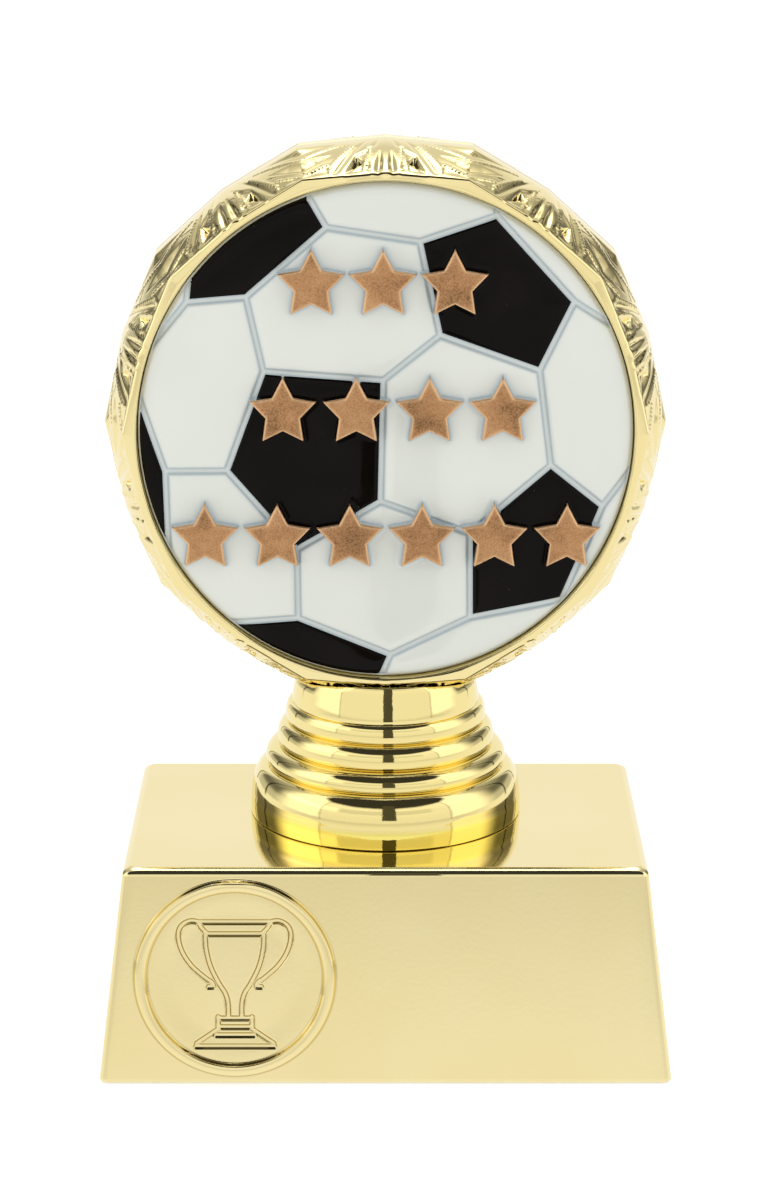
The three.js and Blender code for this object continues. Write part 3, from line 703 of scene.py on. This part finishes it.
def build_holder(side):
    """side +1 is the front half (towards -Y), -1 the rear half."""
    per = 112
    n = per * SECTORS
    a = np.arange(n) / n * 2 * math.pi          # angle from +X, towards +Z
    local = (np.degrees(a) + 18) % 36 - 18      # 0 at a corner (0, 36, 72 ...), +-18 at mid sides
    from_mid = 18 - np.abs(local)               # degrees from the nearest mid side

    def poly(rc, rm, ease=0.0):
        """radius of the ten-cornered outline at each column; ease rounds its corners, in degrees"""
        t = np.radians(np.minimum(np.sqrt(local ** 2 + ease ** 2), 18))
        x0, y0 = rc, 0.0
        x1, y1 = rm * math.cos(math.radians(18)), rm * math.sin(math.radians(18))
        dx, dy = x1 - x0, y1 - y0
        return (x0 * dy - y0 * dx) / (np.cos(t) * dy - np.sin(t) * dx)

    eq = poly(R_CORNER, R_MID)
    lip = poly(LIP_CORNER, LIP_MID)
    band = 0.55
    rows = []

    def ring(r, t):
        r = np.broadcast_to(r, n)
        t = np.broadcast_to(t, n)
        return np.stack([r * np.cos(a), AXIS_Y - side * t, BALL_Z + r * np.sin(a)], 1)

    # slant distance along the mid-side profile
    ts = np.linspace(band, HALF_T - 0.22, 66)
    prof = R_MID - (R_MID - LIP_MID) * drum_drop(ts)
    slant = np.concatenate([[0], np.cumsum(np.hypot(np.diff(ts), np.diff(prof)))])
    L = slant[-1]
    slope = np.gradient(prof, ts)
    nr, nt_ = 1 / np.hypot(1, slope), -slope / np.hypot(1, slope)

    rows.append(ring(eq - 0.12, 0.06))
    rows.append(ring(eq - 0.02, 0.14))
    rows.append(ring(eq, 0.30))
    x = np.radians(from_mid) * 38.5
    for i, t in enumerate(ts):
        across = (t - band) / (HALF_T - band)
        mid = smoothstep(0.22, 0.55, across) * (1 - smoothstep(0.86, 1.0, across))
        q_, p_ = poly(R_CORNER, R_MID, 4.5 * mid), poly(LIP_CORNER, LIP_MID, 4.5 * mid)
        r = q_ - (q_ - p_) * drum_drop(t)
        h = relief(x, np.full(n, slant[i]), L)
        rows.append(ring(r - h * nr[i], t - h * nt_[i] * min(1.0, i / 6)))
    rel = relief(x, np.full(n, L), L)
    rows.append(ring(lip - 0.05 - rel * 0.8, HALF_T - 0.16))
    rows.append(ring(lip - 0.16 - rel * 0.7, HALF_T - 0.11))
    floor_t = 8.1 if side > 0 else HALF_T - 2.2
    inner = RECESS_R if side > 0 else 33.0
    rows.append(ring(lip - 0.22 - rel * 0.65, HALF_T - 0.10))
    rows.append(ring(lip * 0.4 + inner * 0.6 - rel * 0.2, HALF_T - 0.03))
    rows.append(ring(inner + 0.22, HALF_T + 0.01))
    rows.append(ring(inner + 0.06, HALF_T - 0.10))
    rows.append(ring(inner, HALF_T - 0.28))
    rows.append(ring(inner, floor_t + 0.1))
    rows.append(ring(inner - 0.1, floor_t))
    if side < 0:      # the rear face is very slightly crowned
        for r in (29.0, 23.0, 16.0, 8.5, 2.0):
            rows.append(ring(r, floor_t + 0.75 * (1 - (r / inner) ** 2)))
    outer_count = len(rows)
    # second chain: the cavity, from its floor back to the equator face
    rows.append(ring(35.2, 6.2))
    rows.append(ring(35.2, 0.10))
    rows.append(ring(35.4, 0.06))
    verts = np.concatenate(rows)
    total = len(rows)
    q1 = ring_faces(outer_count, n, close_rows=False)
    q2 = ring_faces(total - outer_count, n, close_rows=False) + outer_count * n
    # equator annulus joins the last row to the first
    last, first = total - 1, 0
    c = np.arange(n)
    c2 = (c + 1) % n
    q3 = np.stack([last * n + c, last * n + c2, first * n + c2, first * n + c], 1)
    faces = list(q1) + list(q2) + list(q3)
    faces.append((outer_count - 1) * n + c2)
    faces.append((outer_count * n + c)[::-1])
    return make_object("holder_front" if side > 0 else "holder_rear", verts, faces)


def head_shape(obj):
    """Fits a piece of the round head to its slightly tall outline."""
    co = np.empty(len(obj.data.vertices) * 3)
    obj.data.vertices.foreach_get("co", co)
    co = co.reshape(-1, 3)
    co[:, 0] *= HEAD_SX
    co[:, 2] = BALL_Z / 1000 + (co[:, 2] - BALL_Z / 1000) * HEAD_SZ
    obj.data.vertices.foreach_set("co", co.ravel())
    obj.data.update()
    return obj


def consistent(obj):
    """Recalculates face directions, outward."""
    import bmesh
    bm = bmesh.new()
    bm.from_mesh(obj.data)
    bmesh.ops.recalc_face_normals(bm, faces=bm.faces)
    bm.to_mesh(obj.data)
    bm.free()
    obj.data.update()
    return outward(obj)


holder_front = head_shape(consistent(build_holder(+1)))
holder_rear = head_shape(consistent(build_holder(-1)))
for o, node in ((holder_front, "holder_front_shell"), (holder_rear, "holder_rear_shell")):
    o.data.materials.append(gold_holder)
    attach(o, "root")
    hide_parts(node)


# ---------------------------------------------------------------------------
# Football medallion
# ---------------------------------------------------------------------------
P = {
    "a": (-12.4, 35.8), "b": (-8.1, 28.5), "c": (-19.2, 19.0), "d": (-27.4, 18.3), "e": (-26.6, 26.0),
    "f": (4.7, 26.6), "g": (15.2, 30.1), "g2": (15.4, 36.0), "h": (26.0, 18.4), "h2": (35.2, 12.6),
    "i": (21.3, 8.9), "j": (7.5, 13.8), "k": (-0.3, 7.6), "l": (-16.9, 8.8), "m": (-22.1, -5.1),
    "n": (-12.4, -16.2), "o": (-0.7, -9.4), "p": (11.8, -13.9), "q": (23.0, -4.3), "r": (30.3, -10.1),
    "r2": (37.3, -1.0), "s": (24.8, -23.5), "s2": (26.0, -29.0), "t": (11.9, -26.0), "u": (0.7, -31.4),
    "u2": (-1.9, -37.7), "v": (-12.3, -26.1), "w": (-21.3, -26.8), "w2": (-27.0, -27.6),
    "x": (-30.7, -5.2), "x3": (-30.3, -22.0), "y": (-35.4, 8.6), "d3": (-28.2, 30.0),
}
FAR = {"l": (-44, 8), "ll": (-44, -12), "b": (-14, -44), "tl": (-34, 40)}
BLACK = [
    ["a", "b", "c", "d", "e", FAR["tl"]],
    ["g", "h", "i", "j", "f"],
    ["l", "k", "o", "n", "m"],
    ["q", "r", "s", "t", "p"],
    ["v", "u", "u2", FAR["b"], "w2", "w"],
    ["x", "x3", FAR["ll"], "y"],
]
SEAMS = [
    "ab", "bc", "cd", "de", "bf", "fg", ("g", "g2"), "gh", ("h", "h2"), "hi", "ij", "jf", "jk", "kl", "lc",
    "iq", "qr", ("r", "r2"), "rs", ("s", "s2"), "st", "tp", "pq", "po", "ok", "on", "nm", "ml", "tu",
    ("u", "u2"), "uv", "vn", "vw", ("w", "w2"), "mx", "xy", ("x", "x3"), "dy", ("d", "e"), ("e", "d3"),
]
STAR_ROWS = [
    (20.9, [-10.2, -0.35, 9.5]),
    (3.4, [-14.2, -4.05, 6.1, 16.2]),
    (-14.3, [-25.2, -15.1, -5.0, 5.1, 15.2, 25.3]),
]
STAR_R, STAR_IN = 4.75, 0.52
SEAM_HALF = 0.40
STAR_ROWS = [(z * FACE_SZ, [x * FACE_SX for x in xs]) for z, xs in STAR_ROWS]
FACE_T = HALF_T - 0.20      # the painted face, in front of the equator


def corner(c):
    px, pz = P[c] if isinstance(c, str) else c
    return (px * FACE_SX, pz * FACE_SZ)


def star_points(cx, cz, grow=0.0):
    """Outline of a star, moved outward by grow with mitred corners."""
    p = []
    for i in range(10):
        a = math.pi / 2 + i * math.pi / 5
        r = STAR_R * (STAR_IN if i % 2 else 1)
        p.append((r * math.cos(a), r * math.sin(a)))
    p = np.array(p)
    out = []
    for i in range(10):
        q0, q1, q2 = p[i - 1], p[i], p[(i + 1) % 10]
        e1, e2 = (q1 - q0) / np.linalg.norm(q1 - q0), (q2 - q1) / np.linalg.norm(q2 - q1)
        n1, n2 = np.array([e1[1], -e1[0]]), np.array([e2[1], -e2[0]])
        k = grow / max(0.35, 1 + n1 @ n2)
        out.append(q1 + (n1 + n2) * k)
    return np.array(out) + np.array([cx, cz])


def star_sdf(x, z, cx, cz):
    """Signed distance to the star's outline, negative inside."""
    pts = star_points(cx, cz)
    d = np.full(x.shape, 1e9)
    inside = np.zeros(x.shape, bool)
    for i in range(10):
        (ax, ay), (bx, by) = pts[i - 1], pts[i]
        d = np.minimum(d, seg_distance(x, z, ax, ay, bx, by))
        cond = (ay > z) != (by > z)
        with np.errstate(divide="ignore", invalid="ignore"):
            xi = ax + (z - ay) * (bx - ax) / (by - ay)
        inside ^= cond & (x < xi)
    return np.where(inside, -d, d)


def resample(pts, step):
    out = []
    for i in range(len(pts)):
        a, b = np.asarray(pts[i - 1]), np.asarray(pts[i])
        k = max(1, int(math.ceil(np.linalg.norm(b - a) / step)))
        for j in range(k):
            out.append(a + (b - a) * j / k)
    return np.array(out)


def build_medallion():
    rng = np.random.default_rng(7)
    pts, edges = [], []

    def add_loop(p, closed=True):
        s = len(pts)
        pts.extend(map(tuple, p))
        k = len(p)
        for i in range(k - (0 if closed else 1)):
            edges.append((s + i, s + (i + 1) % k))

    rim = DISC_R - 0.30
    circ = lambda r, k: np.stack([r * np.cos(np.linspace(0, 2 * math.pi, k, endpoint=False)), r * np.sin(np.linspace(0, 2 * math.pi, k, endpoint=False))], 1)
    n_rim = 720
    add_loop(circ(rim, n_rim))
    for r, k in ((rim - 0.18, 720), (rim - 0.45, 600), (rim - 0.9, 480), (rim - 1.6, 360), (rim - 2.6, 300)):
        add_loop(circ(r, k))
    seams = [(np.array(corner(s[0])), np.array(corner(s[1]))) for s in SEAMS]
    offs = (0.0, 0.16, 0.30, 0.40, 0.52, 0.70, 1.0, 1.5)
    for A, B in seams:
        dirv = (B - A) / np.linalg.norm(B - A)
        nrm = np.array([-dirv[1], dirv[0]])
        for o in offs:
            for sgn in ((1,) if o == 0 else (1, -1)):
                k = max(2, int(np.linalg.norm(B - A) / 0.55))
                q = A + np.outer(np.linspace(0, 1, k), B - A) + nrm * o * sgn
                keep = np.hypot(q[:, 0], q[:, 1]) < rim - 0.12
                run = []
                for ok, pt in zip(keep, q):
                    if ok:
                        run.append(pt)
                    elif run:
                        add_loop(run, closed=False)
                        run = []
                if run:
                    add_loop(run, closed=False)
    for cz, xs in STAR_ROWS:
        for cx in xs:
            for g in (-0.55, -0.28, -0.12, -0.04, 0.0, 0.06, 0.16, 0.26, 0.40, 0.65, 1.0):
                add_loop(resample(star_points(cx, cz, g), 0.45))
    # loose points fill the panels evenly
    step = 0.62
    gx, gz = np.meshgrid(np.arange(-35, 35, step), np.arange(-35, 35, step * 0.866))
    gx = gx + (np.arange(gx.shape[0]) % 2 * step / 2)[:, None]
    gx, gz = gx.ravel(), gz.ravel()
    keep = np.hypot(gx, gz) < rim - 2.9
    dseam = np.full(gx.shape, 1e9)
    for A, B in seams:
        dseam = np.minimum(dseam, seg_distance(gx, gz, *A, *B))
    keep &= dseam > 1.7
    for cz, xs in STAR_ROWS:
        for cx in xs:
            sd = star_sdf(gx, gz, cx, cz)
            keep &= (sd > 1.25) | (sd < -0.8)
    pts.extend(zip(gx[keep], gz[keep]))
    res = delaunay_2d_cdt([Vector((float(x), float(y))) for x, y in pts], edges, [], 0, 1e-5)
    v2 = np.array([(v.x, v.y) for v in res[0]])
    tris = [tuple(f) for f in res[2]]
    # drop triangles outside the rim
    cen = np.array([v2[list(f)].mean(0) for f in tris])
    tris = [f for f, c in zip(tris, cen) if math.hypot(*c) < rim]
    x, z = v2[:, 0], v2[:, 1]
    dseam = np.full(x.shape, 1e9)
    for A, B in seams:
        dseam = np.minimum(dseam, seg_distance(x, z, *A, *B))
    dstar = np.full(x.shape, 1e9)
    for cz, xs in STAR_ROWS:
        for cx in xs:
            dstar = np.minimum(dstar, star_sdf(x, z, cx, cz))
    r = np.hypot(x, z)
    # pillowed panels between grooves, the whole face falling away at the rim
    edge_d = np.minimum(dseam, np.maximum(rim - r, 0) + 0.35)
    face = FACE_T + 0.34 * (1 - (r / rim) ** 2)
    groove = 0.42 * (1 - smoothstep(0.18, 0.62, dseam)) + 0.14 * np.exp(-np.maximum(dseam - 0.4, 0) / 0.9)
    rimfall = 0.75 * (1 - np.sqrt(np.clip(1 - (1 - np.clip((rim - r) / 2.2, 0, 1)) ** 2, 0, 1)))
    low = face - groove - rimfall
    # a shallow plinth round each star, then the steep wall
    plinth = 0.10 * (1 - smoothstep(0.30, 0.75, dstar))
    rise = 1 - smoothstep(-0.02, 0.20, dstar)
    crown = 0.13 * (1 - smoothstep(-0.34, 0.0, dstar))
    topf = FACE_T + 1.62 + 0.25 * (1 - (r / rim) ** 2) + crown
    h = (low + plinth) * (1 - rise) + np.minimum(topf, topf) * rise
    inside_black = np.zeros(x.shape, bool)
    # body: front surface, rim wall, back
    nv = len(v2)
    # rim vertices in order
    on_rim = np.where(np.abs(r - rim) < 1e-4)[0]
    order = on_rim[np.argsort(np.arctan2(z[on_rim], x[on_rim]))]
    k = len(order)
    ang = np.arctan2(z[order], x[order])
    front = np.stack([x, AXIS_Y - h, BALL_Z + z], 1)
    def rim_ring(rad, t):
        return np.stack([rad * np.cos(ang), np.full(k, AXIS_Y - t), BALL_Z + rad * np.sin(ang)], 1)
    rings = [rim_ring(rim + 0.16, 10.92), rim_ring(rim + 0.27, 10.7), rim_ring(DISC_R, 10.4), rim_ring(DISC_R, 9.7), rim_ring(DISC_R - 0.2, 9.5)]
    verts = np.concatenate([front] + rings)
    faces = [tuple(f) for f in tris]
    prev = order
    base_i = nv
    for _ in rings:
        cur = np.arange(base_i, base_i + k)
        for i in range(k):
            j = (i + 1) % k
            faces.append((prev[i], prev[j], cur[j], cur[i]))
        prev = cur
        base_i += k
    faces.append(tuple(prev))
    o = make_object("medallion", verts, faces)
    consistent(o)
    o.data.materials.append(white)
    o.data.materials.append(black)
    o.data.materials.append(bronze)
    # paint by face
    me = o.data
    nf = len(me.polygons)
    cx = np.zeros(nf * 3)
    me.polygons.foreach_get("center", cx)
    cx = cx.reshape(-1, 3) * 1000
    fx, fz = cx[:, 0], cx[:, 2] - BALL_Z
    ft = AXIS_Y - cx[:, 1]
    fseam = np.full(fx.shape, 1e9)
    for A, B in seams:
        fseam = np.minimum(fseam, seg_distance(fx, fz, *A, *B))
    fstar = np.full(fx.shape, 1e9)
    for cz, xs in STAR_ROWS:
        for c in xs:
            fstar = np.minimum(fstar, star_sdf(fx, fz, c, cz))
    isblack = np.zeros(fx.shape, bool)
    for poly in BLACK:
        isblack |= in_polygon(fx, fz, [corner(c) for c in poly])
    fr = np.hypot(fx, fz)
    mat = np.zeros(nf, np.int32)
    mat[isblack & (fseam > 0.40) & (fr < rim - 0.05) & (ft > 10.6)] = 1
    mat[(fstar < 0.06) & (ft > 10.6)] = 2
    me.polygons.foreach_set("material_index", mat)
    # painted shade for the white enamel: lines along the seams' walls and a band round each star's foot
    seam_shade = np.zeros(len(verts))
    line = np.exp(-((dseam - 0.36) / 0.15) ** 2) * 0.52 + 0.24 * (1 - smoothstep(0.30, 1.0, dseam))
    star_foot_shade = (0.55 * np.exp(-(np.maximum(dstar - 0.12, 0) / 0.22) ** 2) + 0.22 * (1 - smoothstep(0.2, 1.1, dstar))) * (dstar > 0.05)
    seam_shade[:nv] = np.clip(np.maximum(line, star_foot_shade), 0, 1)
    float_attribute(o, "groove", seam_shade)
    wr = np.zeros(len(verts))
    wr[:nv] = (1 - smoothstep(0.02, 0.30, np.abs(dstar + 0.06)))
    float_attribute(o, "wear", wr)
    return o


medallion = head_shape(build_medallion())
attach(medallion, "root")
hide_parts("medallion_disc")

# ---------------------------------------------------------------------------
# CAD pieces that stay, with their own finish
# ---------------------------------------------------------------------------
for node, mat in (
    ("base_weight_plate", rolled), ("clamp_washer", zinc), ("clamp_nut", zinc),
    ("threaded_rod", zinc), ("captive_nut", zinc), ("adhesive_pad", foam),
):
    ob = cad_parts[node]
    ob.data.materials.clear()
    ob.data.materials.append(mat)

# ---------------------------------------------------------------------------
# Stage: pale floor, soft lights, and reflector cards seen only in reflections
# ---------------------------------------------------------------------------
def stage_mesh(name, verts, faces, mat, glossy_only=False):
    me = bpy.data.meshes.new(name)
    me.from_pydata([tuple(v) for v in verts], [], [tuple(f) for f in faces])
    me.materials.append(mat)
    o = bpy.data.objects.new(name, me)
    bpy.context.scene.collection.objects.link(o)
    if glossy_only:
        o.visible_camera = False
        o.visible_diffuse = False
        o.visible_transmission = False
        o.visible_volume_scatter = False
        o.visible_shadow = False
    return o


fm, fnt, fb = new_material("studio_floor")
fn = noise(fnt, coords(fnt), 6.0, 2.0)
fnt.links.new(ramp(fnt, fn.outputs["Fac"], [(0.3, (0.90, 0.90, 0.90)), (0.7, (0.92, 0.92, 0.92))]), fb.inputs["Base Color"])
fb.inputs["Roughness"].default_value = 0.85
fb.inputs["Specular IOR Level"].default_value = 0.1
fb.inputs["Emission Color"].default_value = (1, 1, 1, 1)
fb.inputs["Emission Strength"].default_value = 0.34
S = 6.0
floor = stage_mesh("floor", [(-S, -S, -0.0002), (S, -S, -0.0002), (S, S, -0.0002), (-S, S, -0.0002)], [(0, 1, 2, 3)], fm)
floor.visible_glossy = False


def studio_light(az, el):
    """Brightness of the studio as the polished surfaces see it. az 0 is in front of the
    trophy, +-180 behind it, positive to the viewer's right; el is the height above the horizon."""
    f = lambda v, a, b: smoothstep(a, b, v)
    left = az < 0
    az = np.abs(az)
    # table top: a little dimmer towards the camera, just under the horizon
    table_front = np.interp(el, [-90, -22, -14, -10, -6.5, -3.5], [0.97, 1.02, 1.00, 0.94, 0.78, 0.84])
    table = table_front + (1.02 - table_front) * f(az, 60, 100)
    # large soft panels either side of the camera, brighter towards the sides
    panel = 0.98 + 0.14 * f(el, 0, 25) + 0.34 * f(az, 54, 60)
    # seen twice over, from the foot: dimmer in the middle, brighter far left
    low = f(el, 13, 16) * (1 - f(el, 24, 27))
    panel = panel * (1 - 0.24 * low * (1 - f(az, 38, 44))) * np.where(left, 1 + 0.22 * low * f(az, 40, 44), 1 - 0.06 * low * f(az, 40, 44))
    # dark ceiling in front; its edge climbs away from the middle
    edge = np.interp(az, [0, 30, 57, 80, 100], [33, 35, 41, 56, 70])
    front = panel + (0.042 - panel) * f(el, edge - 3, edge + 5)
    # olive side walls behind the panels
    side = np.interp(el, [-5, 5, 12, 20, 34, 50], [0.66, 0.58, 0.19, 0.15, 0.36, 0.60])
    # bright backdrop, slightly greyer in the middle, with a strong soft box high up
    back = np.interp(el, [0, 24, 36, 46, 55, 60, 90], [1.02, 0.98, 0.80, 0.78, 1.3, 2.7, 2.7])
    up = front + (side - front) * f(az, 86, 112)
    up = up + (back - up) * f(az, 140, 148)
    # near the zenith the front half stays dark and the rear half white
    cap = 0.042 + (2.7 - 0.042) * f(az, 100, 116)
    up = up + (cap - up) * f(el, 70, 80)
    v = table + (up - table) * f(el, -4.5, -2.5)
    # narrow dark joints where the side walls meet the panels and the backdrop
    for at, wide in ((57.0, 1.2), (123.5, 1.6), (147.5, 1.0)):
        v = v * (1 - (0.35 if at < 60 else 0.85) * (1 - f(np.abs(az - at), wide * 0.5, wide)) * f(el, -8, -5))
    return v


def studio_dome():
    m = bpy.data.materials.new("studio_dome")
    m.use_nodes = True
    nt = m.node_tree
    nt.nodes.clear()
    out = nt.nodes.new("ShaderNodeOutputMaterial")
    em = nt.nodes.new("ShaderNodeEmission")
    at = nt.nodes.new("ShaderNodeAttribute")
    at.attribute_name = "glow"
    nt.links.new(at.outputs["Color"], em.inputs["Color"])
    nt.links.new(em.outputs[0], out.inputs["Surface"])
    na, ne = 480, 240
    az = np.linspace(-180, 180, na, endpoint=False)
    el = np.linspace(-88, 88, ne)
    A, E = np.meshgrid(np.radians(az), np.radians(el))
    R = 3.2
    v = np.stack([R * np.sin(A) * np.cos(E), -R * np.cos(A) * np.cos(E), 0.06 + R * np.sin(E)], -1).reshape(-1, 3)
    v = np.vstack([v, [[0, 0, 0.06 - R], [0, 0, 0.06 + R]]])
    faces = list(ring_faces(ne, na, close_rows=False))
    i = np.arange(na)
    faces += list(np.stack([np.full(na, ne * na), (i + 1) % na, i], 1))
    faces += list(np.stack([np.full(na, ne * na + 1), (ne - 1) * na + i, (ne - 1) * na + (i + 1) % na], 1))
    o = make_object("studio_dome", v * 1000, faces)
    o.data.materials.append(m)
    g = studio_light(np.degrees(A).ravel(), np.degrees(E).ravel())
    g = np.concatenate([g, [0.95, 0.5]])
    ca = o.data.color_attributes.new("glow", "FLOAT_COLOR", "POINT")
    rgba = np.stack([g, g, g, np.ones_like(g)], 1).astype(np.float32)
    ca.data.foreach_set("color", rgba.ravel())
    o.visible_camera = False
    o.visible_diffuse = False
    o.visible_transmission = False
    o.visible_volume_scatter = False
    o.visible_shadow = False
    return o


studio_dome()

# the dark gap between the soft panels, seen only in reflections
gap_m = bpy.data.materials.new("studio_gap")
gap_m.use_nodes = True
gn = gap_m.node_tree
gn.nodes.clear()
g_out = gn.nodes.new("ShaderNodeOutputMaterial")
g_em = gn.nodes.new("ShaderNodeEmission")
g_em.inputs["Color"].default_value = (0.085, 0.08, 0.065, 1)
gn.links.new(g_em.outputs[0], g_out.inputs["Surface"])
gap = stage_mesh("studio_gap", [(-0.0026, -0.060, 0.0365), (0.0086, -0.060, 0.0365), (0.0086, -0.060, 0.085), (-0.0026, -0.060, 0.085)], [(0, 1, 2, 3)], gap_m, glossy_only=True)

world = bpy.data.worlds.new("studio")
bpy.context.scene.world = world
world.use_nodes = True
bg = world.node_tree.nodes.get("Background") or world.node_tree.nodes.new("ShaderNodeBackground")
bg.inputs["Color"].default_value = (1.0, 1.0, 1.0, 1)
bg.inputs["Strength"].default_value = 1.0


def area_light(name, loc, target, size, power, size_y=None):
    li = bpy.data.lights.new(name, "AREA")
    li.shape = "RECTANGLE"
    li.size = size
    li.size_y = size_y or size
    li.energy = power
    o = bpy.data.objects.new(name, li)
    o.location = loc
    o.rotation_mode = "QUATERNION"
    o.rotation_quaternion = (Vector(target) - Vector(loc)).to_track_quat("-Z", "Y")
    bpy.context.scene.collection.objects.link(o)
    return o


for nm, loc, pw in (("key_left", (-0.75, -0.75, 0.8), 0.8), ("key_right", (0.75, -0.75, 0.8), 0.8), ("top", (0, 0.1, 1.2), 0.8)):
    li = area_light(nm, loc, (0, 0, 0.07), 0.6, pw)
    li.visible_glossy = False

# ---------------------------------------------------------------------------
# Camera
# ---------------------------------------------------------------------------
cam_data = bpy.data.cameras.new("camera")
cam_data.sensor_fit = "AUTO"
cam_data.sensor_width = 36.0
cam_data.lens = 3421.2 / 1180 * 36.0
cam_data.dof.use_dof = False
cam_data.clip_start = 0.01
cam_data.clip_end = 50.0
cam = bpy.data.objects.new("camera", cam_data)
bpy.context.scene.collection.objects.link(cam)
cam.location = (-0.00035, -0.4666, 0.1932)
pitch = 0.271
cam.rotation_mode = "QUATERNION"
cam.rotation_quaternion = Vector((0, math.cos(pitch), -math.sin(pitch))).to_track_quat("-Z", "Y")
bpy.context.scene.camera = cam

vs = bpy.context.scene.view_settings
vs.view_transform = "Standard"
vs.look = "None"
vs.exposure = 0.0
vs.gamma = 1.0
